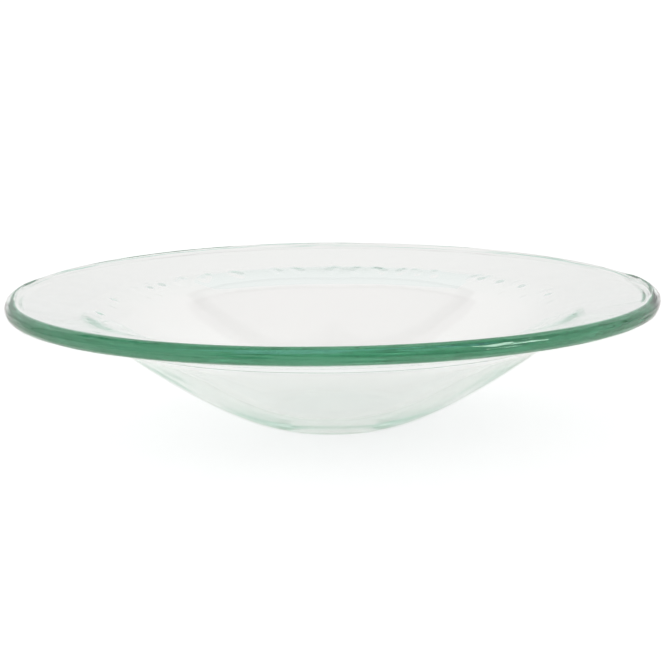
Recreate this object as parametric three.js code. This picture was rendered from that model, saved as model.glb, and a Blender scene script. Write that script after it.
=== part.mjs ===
// Slumped glass bowl: a round well hung under a wide sloping flange that ends in a thick rounded lip.
// Millimetres, +Z up. The origin is the centre of the foot, on the surface that the bowl stands on.
import * as THREE from 'three';

// Overall sizes
const RIM_DIAMETER = 400;
const BOWL_HEIGHT = 85;

// Flange: a cone that rises from the shoulder to the rim, at an angle in degrees from level.
// Its width is the level distance from the rim to where the upper faces of flange and well would meet.
// It ends in a fire-polished lip, a half round as thick as the flange.
const FLANGE_WIDTH = 59.5;
const FLANGE_THICKNESS = 10.5;
const FLANGE_ANGLE = 12.2;

// Shoulder: the bend between flange and well
const SHOULDER_TOP_RADIUS = 50;
const SHOULDER_UNDER_RADIUS = 59;

// Well: the foot and the floor above it are flat, and the wall curves up from them to the shoulder.
// The heel is where the flat of the floor and the slope of the wall below the shoulder would meet.
const FOOT_DIAMETER = 67;
const HEEL_DIAMETER = 123.8;
const WALL_THICKNESS = 10.5;
const BASE_THICKNESS = 12;

// Facets
const TURN_FACETS = 72;
const WELL_FACETS = 9;
const BEND_FACETS = 6;
const LIP_QUARTER_FACETS = 6;
const LIP_END_FACETS = 1;

const GLASS = new THREE.MeshStandardMaterial({
  color: 0xd3e6db,
  roughness: 0.04,
  metalness: 0,
  transparent: true,
  opacity: 0.45,
});

// The section is drawn in the plane of radius and height
const LEVEL = new THREE.Vector2(1, 0);
const UPRIGHT = new THREE.Vector2(0, 1);
const leftOf = (way) => new THREE.Vector2(-way.y, way.x);
const step = (point, way, distance) => point.clone().addScaledVector(way, distance);

function meet(pointA, wayA, pointB, wayB) {
  const between = pointB.clone().sub(pointA);
  return step(pointA, wayA, between.cross(wayB) / wayA.cross(wayB));
}

function arc(centre, from, to, clockwise) {
  const radius = centre.distanceTo(from);
  const angleOf = (point) => Math.atan2(point.y - centre.y, point.x - centre.x);
  return new THREE.EllipseCurve(centre.x, centre.y, radius, radius, angleOf(from), angleOf(to), clockwise);
}

// A round bend where the section turns from one way to another at a corner
function bend(corner, wayIn, wayOut, radius) {
  const turn = Math.atan2(wayIn.cross(wayOut), wayIn.dot(wayOut));
  const setback = radius * Math.tan(Math.abs(turn) / 2);
  const start = step(corner, wayIn, -setback);
  const end = step(corner, wayOut, setback);
  const centre = step(start, leftOf(wayIn), Math.sign(turn) * radius);
  return { start, end, curve: arc(centre, start, end, turn < 0) };
}

const lipRadius = FLANGE_THICKNESS / 2;
const lipCentre = new THREE.Vector2(RIM_DIAMETER / 2 - lipRadius, BOWL_HEIGHT - lipRadius);
const lipEdge = new THREE.Vector2(RIM_DIAMETER / 2, lipCentre.y);
const lipCrown = new THREE.Vector2(lipCentre.x, BOWL_HEIGHT);

// The flange lies evenly about a line through the middle of the lip
const flangeOut = LEVEL.clone().rotateAround(new THREE.Vector2(), THREE.MathUtils.degToRad(FLANGE_ANGLE));
const flangeIn = flangeOut.clone().negate();
const flangeUp = leftOf(flangeOut);
const flangeTop = step(lipCentre, flangeUp, lipRadius);
const flangeUnder = step(lipCentre, flangeUp, -lipRadius);

// The upper face of the wall slopes from the heel to the shoulder, and its lower face lies along it
const footEdge = new THREE.Vector2(FOOT_DIAMETER / 2, 0);
const floorEdge = new THREE.Vector2(FOOT_DIAMETER / 2, BASE_THICKNESS);
const heel = new THREE.Vector2(HEEL_DIAMETER / 2, BASE_THICKNESS);
const shoulder = new THREE.Vector2(RIM_DIAMETER / 2 - FLANGE_WIDTH, 0);
const topCorner = meet(flangeTop, flangeOut, shoulder, UPRIGHT);
const wallOut = topCorner.clone().sub(heel).normalize();
const wallIn = wallOut.clone().negate();
const wallUp = leftOf(wallOut);
const underCorner = meet(flangeUnder, flangeOut, step(topCorner, wallUp, -WALL_THICKNESS), wallOut);
const topBend = bend(topCorner, flangeIn, wallIn, SHOULDER_TOP_RADIUS);
const underBend = bend(underCorner, wallOut, flangeOut, SHOULDER_UNDER_RADIUS);

// Each face of the well leaves its flat level and comes to its bend along the slope of the wall
function wellCurve(edge, bendEnd) {
  const control = meet(edge, LEVEL, bendEnd, wallOut);
  return new THREE.QuadraticBezierCurve(edge, control, bendEnd);
}

// The outline runs from the middle of the foot, under the bowl, round the lip and back over it
const outline = [new THREE.Vector2(0, 0), footEdge];
function follow(curve, facets) {
  outline.push(...curve.getPoints(facets).slice(1));
}
follow(wellCurve(footEdge, underBend.start), WELL_FACETS);
follow(underBend.curve, BEND_FACETS);
outline.push(flangeUnder);
follow(arc(lipCentre, flangeUnder, lipEdge, false), LIP_QUARTER_FACETS);
follow(arc(lipCentre, lipEdge, lipCrown, false), LIP_QUARTER_FACETS);
follow(arc(lipCentre, lipCrown, flangeTop, false), LIP_END_FACETS);
outline.push(topBend.start);
follow(topBend.curve, BEND_FACETS);
outline.push(...wellCurve(floorEdge, topBend.end).getPoints(WELL_FACETS).reverse().slice(1));
outline.push(new THREE.Vector2(0, BASE_THICKNESS));

const bowlGeometry = new THREE.LatheGeometry(outline, TURN_FACETS).rotateX(Math.PI / 2);
const bowl = new THREE.Mesh(bowlGeometry, GLASS);
bowl.name = 'glass_bowl';

const part = new THREE.Group();
part.add(bowl);

export default part;
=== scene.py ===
import math
import random
from collections import namedtuple
import bpy
from mathutils import Euler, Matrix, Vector


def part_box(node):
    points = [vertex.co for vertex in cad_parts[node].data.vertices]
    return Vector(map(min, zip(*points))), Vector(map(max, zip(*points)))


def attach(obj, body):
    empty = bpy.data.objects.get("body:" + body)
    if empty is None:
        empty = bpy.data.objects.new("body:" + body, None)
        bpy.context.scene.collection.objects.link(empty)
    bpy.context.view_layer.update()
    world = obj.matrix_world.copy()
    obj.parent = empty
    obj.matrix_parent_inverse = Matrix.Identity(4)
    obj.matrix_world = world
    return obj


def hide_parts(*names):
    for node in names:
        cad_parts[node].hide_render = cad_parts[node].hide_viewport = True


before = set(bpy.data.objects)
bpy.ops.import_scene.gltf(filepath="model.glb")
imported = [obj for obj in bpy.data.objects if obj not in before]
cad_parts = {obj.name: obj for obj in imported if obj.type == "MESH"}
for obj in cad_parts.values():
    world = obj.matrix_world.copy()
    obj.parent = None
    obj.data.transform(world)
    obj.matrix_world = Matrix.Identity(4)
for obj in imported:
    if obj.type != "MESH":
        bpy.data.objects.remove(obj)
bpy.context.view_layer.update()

# Looks of a slumped glass bowl: a round well under a wide sloping flange with a thick fire-polished lip.
# Metres, +Z up, with the centre of the foot at the origin, as in the solid. The camera stands at -Y.
# A pair of values named a fade or a rise says where that change starts and where it ends.
LOWEST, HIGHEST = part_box("glass_bowl")
RIM_RADIUS = (HIGHEST.x - LOWEST.x) / 2
BOWL_HEIGHT = HIGHEST.z

# Glass thicknesses, bends and flats, as in the solid
FLANGE_THICKNESS = 0.0105
FLANGE_ANGLE = math.radians(12.2)
SHOULDER_RADIUS = 0.1405
SHOULDER_TOP_BEND = 0.050
SHOULDER_UNDER_BEND = 0.059
FOOT_RADIUS = 0.0335
HEEL_RADIUS = 0.0619
WALL_THICKNESS = 0.0105
BASE_THICKNESS = 0.012
LIP_RADIUS = FLANGE_THICKNESS / 2

# Steps of the finished surface, finer along the run of flange next to the lip
TURN_STEPS = 720
WELL_STEPS = 14
TOP_BEND_STEPS = 24
UNDER_BEND_STEPS = 12
FLANGE_STEPS = 5
LIP_RUN_STEPS = 10
LIP_STEPS = 28
FLOOR_STEPS = 3
LIP_RUN = 0.008
WELD_DISTANCE = 1e-6

# Strokes and pits that the mould left round the shoulder, in degrees from the back towards the right.
# The span of a stroke and the place of a pit are shares of the top bend, from the well outwards.
STROKE_DEPTH = 0.00015
STROKE_WIDTH = 0.010
STROKE_SPAN = (0.60, 0.75)
STROKE_SPACING = (5.0, 12.0)
STROKE_SLANT = 0.6
STROKE_LIFT = 0.0025
STROKES_SEEN = (-62, -56, -46, -37, -26, -15, -9, 0, 6.6, 14, 19, 24, 29, 41, 46.7, 56, 70)
FRONT_STROKES = (125, 235)
PIT_DEPTH = 0.0004
PIT_WIDTH = 0.009
PIT_PLACE = 0.6
PITS_SEEN = (-95, -76, -57, -52, 44, 51, 60, 74)

# Grooves along the lip, and striae in its glass, both where a noise is low, in its outer half. The striae
# tint streaks of the lip darker green: in part cords in the glass, in part painted shade for the dark
# streaks of the light that runs inside the lip
GROOVE_DEPTH = 0.0011
GROOVE_LENGTH = 0.04
GROOVE_WIDTH = 0.0013
GROOVE_LEVEL = 0.7
STRIA_LENGTH = 0.05
STRIA_WIDTH = 0.0010
STRIA_FADE = (0.37, 0.50)
# The striae's darker tint, in part painted shade
STRIA_SHADE_TINT = (0.30, 0.56, 0.46, 1.0)
LIP_FADE = (0.25, 0.5)

# A slow drift of the thickness
DRIFT_DEPTH = 0.00015
DRIFT_WIDTH = 0.030
DRIFT_RISE = (0.3 * SHOULDER_RADIUS, 0.5 * SHOULDER_RADIUS)
NOISE_DETAIL = 1.0

# The warp of the rim, and the curl of the lip at each side
RIM_WARP = 0.00114
WARP_TURN = math.radians(-14.4)
WARP_RISE = (0.5 * SHOULDER_RADIUS, SHOULDER_RADIUS)
CURL_RIGHT = 0.0015
CURL_LEFT = 0.0008
CURL_FOOT = 0.010
CURL_RISE = 0.006
CURL_REACH = math.radians(20)
CURL_FADE = math.radians(12)
SIDE_BLEND = 0.5
SEED = 7

# Glass, with a faint haze
GLASS_IOR = 1.52
ABSORPTION_COLOUR = (0.0, 0.615, 0.36, 1.0)
ABSORPTION_DENSITY = 4.9
HAZE_SCALE = 18.0
HAZE_DETAIL = 3.0
HAZE_RISE = (0.45, 0.8)
HAZE_ROUGHNESS = 0.02
LIGHT_BOUNCES = 64
WHITE = (1.0, 1.0, 1.0, 1.0)

# The camera, from the ellipse of the rim
CAMERA_DISTANCE = 1.2
CAMERA_ELEVATION = math.radians(9.5)
CAMERA_ROLL = -0.010
IMAGE_PIXELS = 665
RIM_RADIUS_PIXELS = 324.2
RIM_CENTRE_PIXEL = (332.4, 296.1)
SENSOR_WIDTH = 36.0

# The white floor, as it looks by itself and as it looks in the glass. In the glass it glows pinkish, a
# painted pool of light brightest near the bowl, and where the glass mirrors it, its camera side has painted
# shade
FLOOR_HALF = 60.0
FLOOR_GAP = 0.0002
FLOOR_COLOUR = (0.8, 0.8, 0.8, 1.0)
FLOOR_GLOW = 0.6
GLASS_FLOOR_GLOW_COLOUR = (1.0, 0.915, 0.915, 1.0)
GLASS_FLOOR_GLOW = (0.56, 0.495)
GLASS_FLOOR_FADE = (0.12, 0.40)
CAMERA_FLOOR_FADE = (-0.60, -0.35)

# The tent of light round the bowl: its back panel spreads from a ridge overhead, between two posts.
# Its other values are parts of a direction one long, but the ridge, the posts, the roof's sides and
# the panel's back edge lie on a plane at a height of one.
TENT_SPREAD = 0.66
TENT_RIDGE = 0.25
TENT_POST = 0.07
POST_FADE = (0.5 * TENT_POST, TENT_POST)
ROOF_SHADE = 0.32
ROOF_RISE = (0.5, 0.75)
ROOF_SIDE_FADE = (0.9, 1.3)
WALL_LIGHT = (0.76, 0.80)
WALL_RISE = (0.3, 0.7)
CAMERA_SIDE_SHADE = 0.9
CAMERA_SIDE_FADE = (-0.9, -0.6)
HORIZON_LIGHT = 0.19
HORIZON_FADE = (0.12, 0.35)
STRIP_LIGHT = 0.9
STRIP_INNER_RISE = (0.20, 0.28)
STRIP_OUTER_FADE = (0.40, 0.55)
STRIP_TOP_FADE = (0.13, 0.20)
STRIP_BACK_RISE = (0.2, 0.4)
PANEL_COLOUR = (0.4, 0.75, 1.0, 1.0)
PANEL_LIGHT = 1.7
PANEL_RISE = (0.72, 0.82)
PANEL_BACK_FADE = (-0.12, 0.0)

# The soft box at the right, aimed at the lip
SOFT_BOX_SIZE = (0.55, 0.50)
SOFT_BOX_RADIANCE = 9.0
SOFT_BOX_AZIMUTH = math.radians(-24)
SOFT_BOX_LIFT = math.radians(28)
SOFT_BOX_AIM = (0.11, -0.17, 0.08)
SOFT_BOX_DISTANCE = 1.2


def put(tree, kind, sockets=None, **settings):
    """Adds a node with its settings, and links or sets its input sockets by name or number."""
    node = tree.nodes.new(kind)
    for name, value in settings.items():
        setattr(node, name, value)
    for key, value in (sockets or {}).items():
        if isinstance(value, bpy.types.NodeSocket):
            tree.links.new(value, node.inputs[key])
        else:
            node.inputs[key].default_value = value
    return node


def work_out(tree, operation, *values):
    """One Math node on up to three values or sockets."""
    return put(tree, "ShaderNodeMath", dict(enumerate(values)), operation=operation).outputs[0]


def work_out_vector(tree, operation, *values):
    """One Vector Math node on vectors or sockets."""
    return put(tree, "ShaderNodeVectorMath", dict(enumerate(values)), operation=operation).outputs[0]


def scaled(tree, vector, scale):
    """A vector times a value or socket."""
    return put(tree, "ShaderNodeVectorMath", {0: vector, "Scale": scale}, operation="SCALE").outputs[0]


def length_of(tree, vector):
    return put(tree, "ShaderNodeVectorMath", {0: vector}, operation="LENGTH").outputs["Value"]


def split(tree, vector):
    """A vector's parts along X, Y and Z."""
    return put(tree, "ShaderNodeSeparateXYZ", {"Vector": vector}).outputs


def ramp_between(tree, value, low, high, to_low=0.0, to_high=1.0):
    """A smooth step of a value from one range to another."""
    sockets = {0: value, 1: low, 2: high, 3: to_low, 4: to_high}
    return put(tree, "ShaderNodeMapRange", sockets, interpolation_type="SMOOTHSTEP").outputs[0]


def add_object(name, data):
    made = bpy.data.objects.new(name, data)
    bpy.context.scene.collection.objects.link(made)
    return made


# The section of the bowl, in radius and height


def left_of(way):
    return Vector((-way.y, way.x))


def meet(point_a, way_a, point_b, way_b):
    """Where two straight lines meet."""
    between = point_b - point_a
    return point_a + way_a * (between.cross(way_b) / way_a.cross(way_b))


def arc(centre, start, end, steps):
    """Points on the shorter arc from start to end."""
    spoke = start - centre
    opening = end - centre
    turn = math.atan2(spoke.cross(opening), spoke.dot(opening))
    points = []
    for step in range(steps + 1):
        angle = turn * step / steps
        points.append(centre + spoke * math.cos(angle) + left_of(spoke) * math.sin(angle))
    return points


def bend(corner, way_in, way_out, radius, steps):
    """A round bend where the section turns at a corner."""
    turn = math.atan2(way_in.cross(way_out), way_in.dot(way_out))
    setback = radius * math.tan(abs(turn) / 2)
    start = corner - way_in * setback
    centre = start + left_of(way_in) * math.copysign(radius, turn)
    return arc(centre, start, corner + way_out * setback, steps)


def straight(start, end, steps):
    return [start.lerp(end, step / steps) for step in range(steps + 1)]


def well_curve(edge, bend_end, wall_way):
    """A face of the well: it leaves its flat level and comes to the bend along the slope of the wall."""
    control = meet(edge, Vector((1, 0)), bend_end, wall_way)
    points = []
    for step in range(WELL_STEPS + 1):
        share = step / WELL_STEPS
        points.append(edge.lerp(control, share).lerp(control.lerp(bend_end, share), share))
    return points


def bowl_section():
    """The outline from the middle of the floor, over the lip and under to the middle of the foot."""
    lip_centre = Vector((RIM_RADIUS - LIP_RADIUS, BOWL_HEIGHT - LIP_RADIUS))
    flange_way = Vector((math.cos(FLANGE_ANGLE), math.sin(FLANGE_ANGLE)))
    half_flange = left_of(flange_way) * (FLANGE_THICKNESS / 2)
    heel = Vector((HEEL_RADIUS, BASE_THICKNESS))
    top_corner = meet(lip_centre + half_flange, flange_way, Vector((SHOULDER_RADIUS, 0)), Vector((0, 1)))
    wall_way = (top_corner - heel).normalized()
    wall_under = top_corner - left_of(wall_way) * WALL_THICKNESS
    under_corner = meet(lip_centre - half_flange, flange_way, wall_under, wall_way)
    top_bend = bend(top_corner, wall_way, flange_way, SHOULDER_TOP_BEND, TOP_BEND_STEPS)
    under_bend = bend(under_corner, wall_way, flange_way, SHOULDER_UNDER_BEND, UNDER_BEND_STEPS)
    lip_front = lip_centre + flange_way * LIP_RADIUS
    lip_top = lip_centre + half_flange
    lip_under = lip_centre - half_flange
    lip_run = flange_way * LIP_RUN
    floor_edge = Vector((FOOT_RADIUS, BASE_THICKNESS))
    foot_edge = Vector((FOOT_RADIUS, 0))
    over = [
        straight(Vector((0, BASE_THICKNESS)), floor_edge, FLOOR_STEPS),
        well_curve(floor_edge, top_bend[0], wall_way),
        top_bend,
        straight(top_bend[-1], lip_top - lip_run, FLANGE_STEPS),
        straight(lip_top - lip_run, lip_top, LIP_RUN_STEPS),
        arc(lip_centre, lip_top, lip_front, LIP_STEPS // 2),
    ]
    under = [
        straight(Vector((0, 0)), foot_edge, FLOOR_STEPS),
        well_curve(foot_edge, under_bend[0], wall_way),
        under_bend,
        straight(under_bend[-1], lip_under - lip_run, FLANGE_STEPS),
        straight(lip_under - lip_run, lip_under, LIP_RUN_STEPS),
        arc(lip_centre, lip_under, lip_front, LIP_STEPS // 2),
    ]
    outline = [over[0][0]]
    for stretch in over:
        outline += stretch[1:]
    back = [point for stretch in under for point in stretch[1:]]
    outline += back[-2::-1]
    outline.append(under[0][0])
    return outline, top_bend


# What the kiln and the mould left in the glass, for the bowl's tree and its material

Spot = namedtuple("Spot", "position axes level radius way_round")


def spot_of(tree, position):
    """Where a point lies: along each axis, at no height, away from the bowl's axis and round it."""
    axes = split(tree, position)
    level = put(tree, "ShaderNodeCombineXYZ", {"X": axes["X"], "Y": axes["Y"]}).outputs["Vector"]
    way_round = work_out_vector(tree, "NORMALIZE", level)
    return Spot(position, axes, level, length_of(tree, level), way_round)


def noise_at(tree, place, fourth, scale):
    sockets = {"Vector": place, "W": fourth, "Scale": scale, "Detail": NOISE_DETAIL}
    return put(tree, "ShaderNodeTexNoise", sockets, noise_dimensions="4D").outputs["Fac"]


def lengthwise_noise(tree, spot, rim_radius, length, width):
    """Noise that is long the way round the rim and narrow across the lip."""
    along = scaled(tree, spot.way_round, work_out(tree, "DIVIDE", rim_radius, length))
    height = work_out(tree, "DIVIDE", spot.axes["Z"], width)
    across = put(tree, "ShaderNodeCombineXYZ", {"Z": height}).outputs["Vector"]
    place = work_out_vector(tree, "ADD", along, across)
    return noise_at(tree, place, work_out(tree, "DIVIDE", spot.radius, width), 1.0)


def in_outer_lip(tree, spot, rim_radius, lip_width):
    """One at the rim, and none past the outer half of the lip."""
    inside_rim = work_out(tree, "SUBTRACT", rim_radius, spot.radius)
    return ramp_between(tree, work_out(tree, "DIVIDE", inside_rim, lip_width), *LIP_FADE, 1.0, 0.0)


def pressed_in(tree, given, mark, element):
    """How deep the marks of one kind are pressed in: most at the middle, and none past half a width."""
    marks = put(tree, "GeometryNodeObjectInfo", {"Object": given[mark + "s"]}).outputs["Geometry"]
    nearest = put(tree, "GeometryNodeProximity", {"Geometry": marks}, target_element=element)
    widths_off = work_out(tree, "DIVIDE", nearest.outputs["Distance"], given[mark + " Width"])
    share = ramp_between(tree, widths_off, 0.0, 0.5, 1.0, 0.0)
    return work_out(tree, "MULTIPLY", share, given[mark + " Depth"])


def lip_grooves(tree, given, spot):
    """Grooves along the outer half of the lip, sunk where the noise lies under a level."""
    noise = lengthwise_noise(tree, spot, given["Rim Radius"], given["Groove Length"], given["Groove Width"])
    sunk = work_out(tree, "MINIMUM", work_out(tree, "SUBTRACT", noise, GROOVE_LEVEL), 0.0)
    outer = in_outer_lip(tree, spot, given["Rim Radius"], given["Lip Width"])
    return work_out(tree, "MULTIPLY", work_out(tree, "MULTIPLY", sunk, outer), given["Groove Depth"])


def thickness_drift(tree, given, spot):
    """A slow drift of the thickness, inwards only, all over but at the foot."""
    noise = noise_at(tree, spot.position, given["Seed"], work_out(tree, "DIVIDE", 1.0, given["Drift Width"]))
    off_foot = ramp_between(tree, spot.radius, *DRIFT_RISE)
    drift = work_out(tree, "MULTIPLY", work_out(tree, "SUBTRACT", noise, 1.0), off_foot)
    return work_out(tree, "MULTIPLY", drift, given["Drift Depth"])


def lip_curl(tree, given, spot):
    """How far the lip curls up round the left and the right."""
    way = split(tree, spot.way_round)
    height = ramp_between(tree, way["X"], -SIDE_BLEND, SIDE_BLEND, given["Curl Left"], given["Curl Right"])
    angle = work_out(tree, "ARCTAN2", way["Y"], work_out(tree, "ABSOLUTE", way["X"]))
    before_end = work_out(tree, "SUBTRACT", given["Curl Reach"], work_out(tree, "ABSOLUTE", angle))
    inside_rim = work_out(tree, "SUBTRACT", given["Rim Radius"], spot.radius)
    past_foot = work_out(tree, "SUBTRACT", given["Curl Foot"], inside_rim)
    along = ramp_between(tree, work_out(tree, "DIVIDE", before_end, given["Curl Fade"]), 0.0, 1.0)
    up = ramp_between(tree, work_out(tree, "DIVIDE", past_foot, given["Curl Rise"]), 0.0, 1.0)
    return work_out(tree, "MULTIPLY", work_out(tree, "MULTIPLY", along, height), up)


def rim_saddle(tree, given, spot):
    """How far the rim dips, like a saddle: least near front and back, most near the sides."""
    sockets = {"Vector": spot.level, "Angle": given["Warp Turn"]}
    turned = put(tree, "ShaderNodeVectorRotate", sockets, rotation_type="Z_AXIS").outputs["Vector"]
    axes = split(tree, turned)
    depth_square = work_out(tree, "MULTIPLY", axes["Y"], axes["Y"])
    width_square = work_out(tree, "MULTIPLY", axes["X"], axes["X"])
    rim_square = work_out(tree, "MULTIPLY", given["Rim Radius"], given["Rim Radius"])
    saddle = work_out(tree, "DIVIDE", work_out(tree, "SUBTRACT", depth_square, width_square), rim_square)
    dip = work_out(tree, "MULTIPLY", work_out(tree, "SUBTRACT", saddle, 1.0), given["Rim Warp"])
    return work_out(tree, "MULTIPLY", dip, ramp_between(tree, spot.radius, *WARP_RISE))


# The bowl


def form_bowl():
    """A tree that turns the section round the axis, and gives the glass its warp, curl, marks and drift."""
    tree = bpy.data.node_groups.new("form_bowl", "GeometryNodeTree")
    sizes = (
        "Rim Radius", "Rim Warp", "Warp Turn", "Stroke Depth", "Stroke Width", "Pit Depth", "Pit Width",
        "Groove Depth", "Groove Length", "Groove Width", "Lip Width", "Drift Depth", "Drift Width",
        "Curl Right", "Curl Left", "Curl Foot", "Curl Rise", "Curl Reach", "Curl Fade", "Seed",
    )
    kinds = {"Section": "Geometry", "Strokes": "Object", "Pits": "Object"}
    kinds.update({name: "Float" for name in sizes})
    kinds.update({"Turn Steps": "Int", "Glass": "Material"})
    for name, kind in kinds.items():
        tree.interface.new_socket(name, in_out="INPUT", socket_type="NodeSocket" + kind)
    tree.interface.new_socket("Bowl", in_out="OUTPUT", socket_type="NodeSocketGeometry")
    given = tree.nodes.new("NodeGroupInput").outputs

    # The section carried round a circle, with the ring of points at each pole made one
    section = put(tree, "GeometryNodeMeshToCurve", {"Mesh": given["Section"]}).outputs["Curve"]
    circle = {"Resolution": given["Turn Steps"], "Radius": given["Rim Radius"]}
    turn = put(tree, "GeometryNodeCurvePrimitiveCircle", circle).outputs["Curve"]
    swept = put(tree, "GeometryNodeCurveToMesh", {"Curve": turn, "Profile Curve": section}).outputs["Mesh"]
    whole = {"Geometry": swept, "Distance": WELD_DISTANCE}
    surface = put(tree, "GeometryNodeMergeByDistance", whole).outputs["Geometry"]

    # Each point moved along its normal by the marks, grooves and drift, and upright by the warp and the curl
    spot = spot_of(tree, put(tree, "GeometryNodeInputPosition").outputs["Position"])
    strokes = pressed_in(tree, given, "Stroke", "EDGES")
    marks = work_out(tree, "ADD", strokes, pressed_in(tree, given, "Pit", "POINTS"))
    swelling = work_out(tree, "SUBTRACT", lip_grooves(tree, given, spot), marks)
    swelling = work_out(tree, "ADD", swelling, thickness_drift(tree, given, spot))
    swell = scaled(tree, put(tree, "GeometryNodeInputNormal").outputs["Normal"], swelling)
    lift = work_out(tree, "ADD", rim_saddle(tree, given, spot), lip_curl(tree, given, spot))
    raised = put(tree, "ShaderNodeCombineXYZ", {"Z": lift}).outputs["Vector"]
    offset = work_out_vector(tree, "ADD", swell, raised)
    moved = put(tree, "GeometryNodeSetPosition", {"Geometry": surface, "Offset": offset}).outputs["Geometry"]

    smooth = put(tree, "GeometryNodeSetShadeSmooth", {"Geometry": moved}).outputs["Geometry"]
    real = put(tree, "GeometryNodeRealizeInstances", {"Geometry": smooth}).outputs["Geometry"]
    glazed = put(tree, "GeometryNodeSetMaterial", {"Geometry": real, "Material": given["Glass"]})
    put(tree, "NodeGroupOutput", {"Bowl": glazed.outputs["Geometry"]})
    return tree


def round_axis(place, angle, lift=0.0):
    """A point of the section, turned to its angle from the back towards the right."""
    return place.x * math.sin(angle), place.x * math.cos(angle), place.y + lift


def shoulder_strokes(top_bend):
    """Short strokes down the shoulder: those seen at the back, and others like them in front."""
    spread = random.Random(SEED)
    angles = list(STROKES_SEEN)
    angle = FRONT_STROKES[0]
    while angle < FRONT_STROKES[1]:
        angles.append(angle)
        angle += spread.uniform(*STROKE_SPACING)
    first, last = (round(share * TOP_BEND_STEPS) for share in STROKE_SPAN)
    points = []
    edges = []
    for angle in angles:
        way_round = math.radians(angle)
        slant = math.radians(spread.uniform(-STROKE_SLANT, STROKE_SLANT))
        lift = spread.uniform(0, STROKE_LIFT)
        start = len(points)
        for place in top_bend[first:last + 1]:
            points.append(round_axis(place, way_round, lift))
            way_round += slant
        edges += [(step, step + 1) for step in range(start, len(points) - 1)]
    return points, edges


def shoulder_pits(top_bend):
    """Points at the sides of the shoulder, each the middle of a pit."""
    place = top_bend[round(PIT_PLACE * TOP_BEND_STEPS)]
    return [round_axis(place, math.radians(angle)) for angle in PITS_SEEN]


def line_object(name, points, edges):
    mesh = bpy.data.meshes.new(name)
    mesh.from_pydata(points, edges, [])
    return add_object(name, mesh)


def make_bowl(glass):
    outline, top_bend = bowl_section()

    # The sweep lays the section's X outwards from the circle and its Y downwards
    points = [(point.x - RIM_RADIUS, -point.y, 0) for point in outline]
    maker = line_object("bowl_section", points, [(step, step + 1) for step in range(len(points) - 1)])
    strokes = line_object("shoulder_strokes", *shoulder_strokes(top_bend))
    pits = line_object("shoulder_pits", shoulder_pits(top_bend), [])
    values = {
        "Strokes": strokes, "Stroke Depth": STROKE_DEPTH, "Stroke Width": STROKE_WIDTH,
        "Pits": pits, "Pit Depth": PIT_DEPTH, "Pit Width": PIT_WIDTH,
        "Rim Radius": RIM_RADIUS, "Rim Warp": RIM_WARP, "Warp Turn": WARP_TURN, "Lip Width": 2 * LIP_RADIUS,
        "Groove Depth": GROOVE_DEPTH, "Groove Length": GROOVE_LENGTH, "Groove Width": GROOVE_WIDTH,
        "Drift Depth": DRIFT_DEPTH, "Drift Width": DRIFT_WIDTH,
        "Curl Right": CURL_RIGHT, "Curl Left": CURL_LEFT, "Curl Foot": CURL_FOOT, "Curl Rise": CURL_RISE,
        "Curl Reach": CURL_REACH, "Curl Fade": CURL_FADE,
        "Turn Steps": TURN_STEPS, "Seed": float(SEED), "Glass": glass,
    }
    modifier = maker.modifiers.new("form_bowl", "NODES")
    modifier.node_group = form_bowl()
    for item in modifier.node_group.interface.items_tree:
        if item.in_out == "INPUT" and item.name in values:
            modifier[item.identifier] = values[item.name]
    shaped = maker.evaluated_get(bpy.context.evaluated_depsgraph_get())
    mesh = bpy.data.meshes.new_from_object(shaped)
    mesh.name = "glass_bowl_finished"
    for helper in (maker, strokes, pits):
        bpy.data.objects.remove(helper)
    return add_object("glass_bowl_finished", mesh)


def empty_material(name):
    material = bpy.data.materials.new(name)
    material.use_nodes = True
    material.node_tree.nodes.clear()
    return material


def tinted_glass():
    """Fire-polished glass: clear through the wall, green where light runs a long way inside it."""
    material = empty_material("tinted_glass")
    tree = material.node_tree
    place = put(tree, "ShaderNodeTexCoord").outputs["Object"]

    # Striae in the lip, which take some of the light: a darker tint in streaks, in part cords in the glass,
    # in part painted shade for the dark streaks of the light inside the lip
    spot = spot_of(tree, place)
    striae_shade = lengthwise_noise(tree, spot, RIM_RADIUS, STRIA_LENGTH, STRIA_WIDTH)
    striae_shade = ramp_between(tree, striae_shade, *STRIA_FADE, 1.0, 0.0)
    striae_shade = work_out(tree, "MULTIPLY", striae_shade, in_outer_lip(tree, spot, RIM_RADIUS, 2 * LIP_RADIUS))
    shade_tinge = put(tree, "ShaderNodeMix", {0: striae_shade, 6: WHITE, 7: STRIA_SHADE_TINT}, data_type="RGBA").outputs[2]

    haze = {"Vector": place, "Scale": HAZE_SCALE, "Detail": HAZE_DETAIL}
    hazed = put(tree, "ShaderNodeTexNoise", haze).outputs["Fac"]
    glass = put(
        tree, "ShaderNodeBsdfPrincipled",
        {
            "Base Color": shade_tinge,
            "Metallic": 0.0,
            "Roughness": ramp_between(tree, hazed, *HAZE_RISE, 0.0, HAZE_ROUGHNESS),
            "IOR": GLASS_IOR,
            "Transmission Weight": 1.0,
        },
    )
    depth = {"Color": ABSORPTION_COLOUR, "Density": ABSORPTION_DENSITY}
    tint = put(tree, "ShaderNodeVolumeAbsorption", depth)
    put(tree, "ShaderNodeOutputMaterial", {"Surface": glass.outputs[0], "Volume": tint.outputs[0]})
    return material


# The stage


def only_mirrored(tree, path):
    """One for a ray that was mirrored last, and none for one that went through glass."""
    unpassed = work_out(tree, "SUBTRACT", path["Is Glossy Ray"], path["Is Transmission Ray"])
    return work_out(tree, "MAXIMUM", unpassed, 0.0)


def shaded_by(tree, shade, share):
    """What a shade leaves of the light, where it has its share."""
    return work_out(tree, "SUBTRACT", 1.0, work_out(tree, "MULTIPLY", shade, share))


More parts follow.
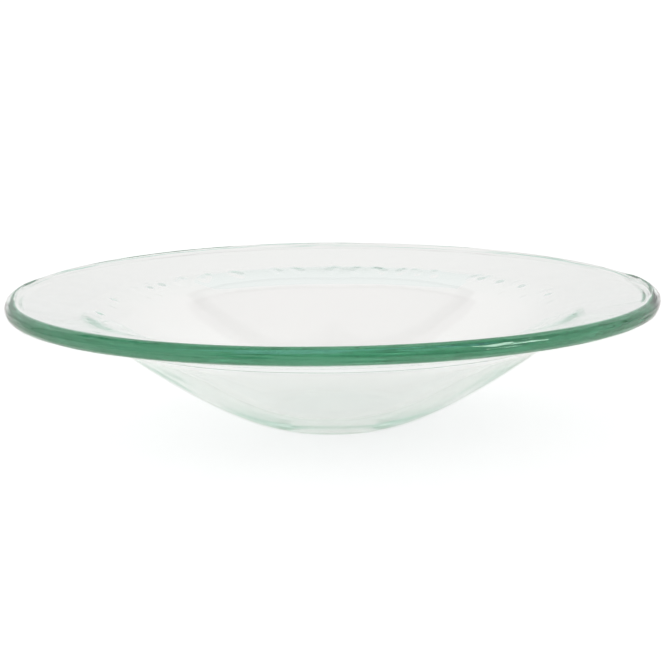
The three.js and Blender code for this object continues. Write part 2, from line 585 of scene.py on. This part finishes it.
def white_floor():
    """Paper that looks white by itself, and a little darker where the glass mirrors or bends it. There it
    glows pinkish, a painted pool of light brightest near the bowl, with painted shade on its camera side
    where the glass mirrors it.
    """
    material = empty_material("white_floor")
    tree = material.node_tree
    path = put(tree, "ShaderNodeLightPath").outputs
    place = put(tree, "ShaderNodeTexCoord").outputs["Object"]
    # Painted shade on the camera side of the floor, where the glass mirrors it
    camera_side = ramp_between(tree, split(tree, place)["Y"], *CAMERA_FLOOR_FADE, CAMERA_SIDE_SHADE, 0.0)
    # A painted pool of light: in the glass the floor glows brighter near the bowl
    strength = ramp_between(tree, length_of(tree, place), *GLASS_FLOOR_FADE, *GLASS_FLOOR_GLOW)
    strength = work_out(tree, "MULTIPLY", strength, shaded_by(tree, camera_side, only_mirrored(tree, path)))
    glow_in_glass = {"Color": GLASS_FLOOR_GLOW_COLOUR, "Strength": strength}
    seen_in_glass = put(tree, "ShaderNodeEmission", glow_in_glass).outputs[0]
    seen = put(tree, "ShaderNodeEmission", {"Color": WHITE, "Strength": FLOOR_GLOW}).outputs[0]
    unseen = put(tree, "ShaderNodeEmission", {"Strength": 0.0}).outputs[0]
    in_glass = work_out(tree, "MAXIMUM", path["Is Glossy Ray"], path["Is Transmission Ray"])
    glow = put(tree, "ShaderNodeMixShader", {0: in_glass, 1: unseen, 2: seen_in_glass}).outputs[0]
    glow = put(tree, "ShaderNodeMixShader", {0: path["Is Camera Ray"], 1: glow, 2: seen}).outputs[0]
    paper = put(tree, "ShaderNodeBsdfDiffuse", {"Color": FLOOR_COLOUR}).outputs[0]
    both = put(tree, "ShaderNodeAddShader", {0: paper, 1: glow}).outputs[0]
    put(tree, "ShaderNodeOutputMaterial", {"Surface": both})
    return material


def make_floor():
    """A wide floor, a hair under the foot."""
    mesh = bpy.data.meshes.new("floor")
    ways = [(-1, -1), (1, -1), (1, 1), (-1, 1)]
    mesh.from_pydata([(x * FLOOR_HALF, y * FLOOR_HALF, -FLOOR_GAP) for x, y in ways], [], [(0, 1, 2, 3)])
    mesh.materials.append(white_floor())
    floor = add_object("floor", mesh)


def tent_walls(tree, axes, mirrored):
    """Light walls, a darker roof in front of the ridge, dark posts beside it and a shaded camera side."""
    height = axes["Z"]
    across = work_out(tree, "ABSOLUTE", work_out(tree, "DIVIDE", axes["X"], height))
    along = work_out(tree, "DIVIDE", axes["Y"], height)
    edge = work_out(tree, "MULTIPLY_ADD", across, TENT_SPREAD, TENT_RIDGE)
    past_edge = work_out(tree, "SUBTRACT", along, edge)
    roof = ramp_between(tree, past_edge, -TENT_POST, TENT_POST, 1.0, 0.0)
    roof = work_out(tree, "MULTIPLY", roof, ramp_between(tree, across, *ROOF_SIDE_FADE, 1.0, 0.0))
    roof = work_out(tree, "MULTIPLY", roof, ramp_between(tree, height, *ROOF_RISE, 0.0, ROOF_SHADE))
    walls = work_out(tree, "SUBTRACT", ramp_between(tree, height, *WALL_RISE, *WALL_LIGHT), roof)
    off_post = work_out(tree, "ABSOLUTE", past_edge)
    walls = work_out(tree, "MULTIPLY", walls, ramp_between(tree, off_post, *POST_FADE, 0.0, 1.0))
    camera_side = ramp_between(tree, axes["Y"], *CAMERA_SIDE_FADE, CAMERA_SIDE_SHADE, 0.0)
    return work_out(tree, "MULTIPLY", walls, shaded_by(tree, camera_side, mirrored))


def side_strips(tree, axes, mirrored):
    """Low strips of light at the back of each side, for the ends of the lip to mirror."""
    aside = work_out(tree, "ABSOLUTE", axes["X"])
    strips = ramp_between(tree, aside, *STRIP_INNER_RISE)
    strips = work_out(tree, "MULTIPLY", strips, ramp_between(tree, aside, *STRIP_OUTER_FADE, 1.0, 0.0))
    low_down = ramp_between(tree, axes["Z"], *STRIP_TOP_FADE, STRIP_LIGHT, 0.0)
    strips = work_out(tree, "MULTIPLY", work_out(tree, "MULTIPLY", strips, low_down), mirrored)
    return work_out(tree, "MULTIPLY", strips, ramp_between(tree, axes["Y"], *STRIP_BACK_RISE))


def front_panel(tree, axes, mirrored):
    """A bluish panel over the front, for the lip to mirror."""
    along = work_out(tree, "DIVIDE", axes["Y"], axes["Z"])
    panel = ramp_between(tree, along, *PANEL_BACK_FADE, 1.0, 0.0)
    panel = work_out(tree, "MULTIPLY", panel, ramp_between(tree, axes["Z"], *PANEL_RISE))
    glow = work_out(tree, "MULTIPLY", work_out(tree, "MULTIPLY", panel, mirrored), PANEL_LIGHT)
    return put(tree, "ShaderNodeBackground", {"Color": PANEL_COLOUR, "Strength": glow}).outputs[0]


def soft_box():
    """A soft box at the right that only glints."""
    width, height = SOFT_BOX_SIZE
    lamp = bpy.data.lights.new("soft_box", "AREA")
    lamp.shape = "RECTANGLE"
    lamp.size = width
    lamp.size_y = height
    lamp.energy = SOFT_BOX_RADIANCE * math.pi * width * height
    level = Vector((math.cos(SOFT_BOX_AZIMUTH), math.sin(SOFT_BOX_AZIMUTH), 0))
    away = level * math.cos(SOFT_BOX_LIFT) + Vector((0, 0, math.sin(SOFT_BOX_LIFT)))
    box = add_object("soft_box", lamp)
    box.location = Vector(SOFT_BOX_AIM) + away * SOFT_BOX_DISTANCE
    box.rotation_euler = away.to_track_quat("Z", "Y").to_euler()
    box.visible_diffuse = False
    box.visible_transmission = False


def light_room():
    """A grey tent round the stage, white to the camera, with strips and a panel for the lip to mirror."""
    world = bpy.data.worlds.new("grey_room")
    bpy.context.scene.world = world
    world.use_nodes = True
    tree = world.node_tree
    tree.nodes.clear()
    path = put(tree, "ShaderNodeLightPath").outputs
    axes = split(tree, put(tree, "ShaderNodeTexCoord").outputs["Generated"])
    mirrored = only_mirrored(tree, path)
    walls = tent_walls(tree, axes, mirrored)
    walls = work_out(tree, "ADD", walls, side_strips(tree, axes, mirrored))
    horizon = ramp_between(tree, axes["Z"], *HORIZON_FADE, HORIZON_LIGHT, 0.0)
    horizon = work_out(tree, "MULTIPLY", horizon, path["Is Transmission Ray"])
    shade = work_out(tree, "MAXIMUM", path["Is Camera Ray"], work_out(tree, "ADD", walls, horizon))
    room = put(tree, "ShaderNodeBackground", {"Color": WHITE, "Strength": shade}).outputs[0]
    lit = put(tree, "ShaderNodeAddShader", {0: room, 1: front_panel(tree, axes, mirrored)}).outputs[0]
    put(tree, "ShaderNodeOutputWorld", {"Surface": lit})


def make_camera():
    """A camera that sees the rim where its ellipse lies in the picture."""
    lens = bpy.data.cameras.new("camera")
    focal_pixels = RIM_RADIUS_PIXELS * CAMERA_DISTANCE / RIM_RADIUS
    lens.sensor_width = SENSOR_WIDTH
    lens.lens = SENSOR_WIDTH * focal_pixels / IMAGE_PIXELS
    camera = add_object("camera", lens)
    rim_centre = Vector((0, 0, BOWL_HEIGHT - LIP_RADIUS - RIM_WARP))
    back = Vector((0, -math.cos(CAMERA_ELEVATION), math.sin(CAMERA_ELEVATION)))
    camera.location = rim_centre + back * CAMERA_DISTANCE
    middle = IMAGE_PIXELS / 2
    pitch = math.atan((RIM_CENTRE_PIXEL[1] - middle) / focal_pixels)
    yaw = math.atan((RIM_CENTRE_PIXEL[0] - middle) / focal_pixels)
    turn = Euler((math.pi / 2 - CAMERA_ELEVATION, 0, 0)).to_quaternion()
    turn = turn @ Euler((0, 0, CAMERA_ROLL)).to_quaternion()
    turn = turn @ Euler((pitch, yaw, 0)).to_quaternion()
    camera.rotation_euler = turn.to_euler()
    bpy.context.scene.camera = camera


scene = bpy.context.scene
scene.view_settings.view_transform = "Standard"

# Light runs a long way inside the flange before it leaves
scene.cycles.max_bounces = LIGHT_BOUNCES
scene.cycles.glossy_bounces = LIGHT_BOUNCES
scene.cycles.transmission_bounces = LIGHT_BOUNCES

make_camera()
light_room()
soft_box()
make_floor()

bowl = make_bowl(tinted_glass())
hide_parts("glass_bowl")
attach(bowl, "root")
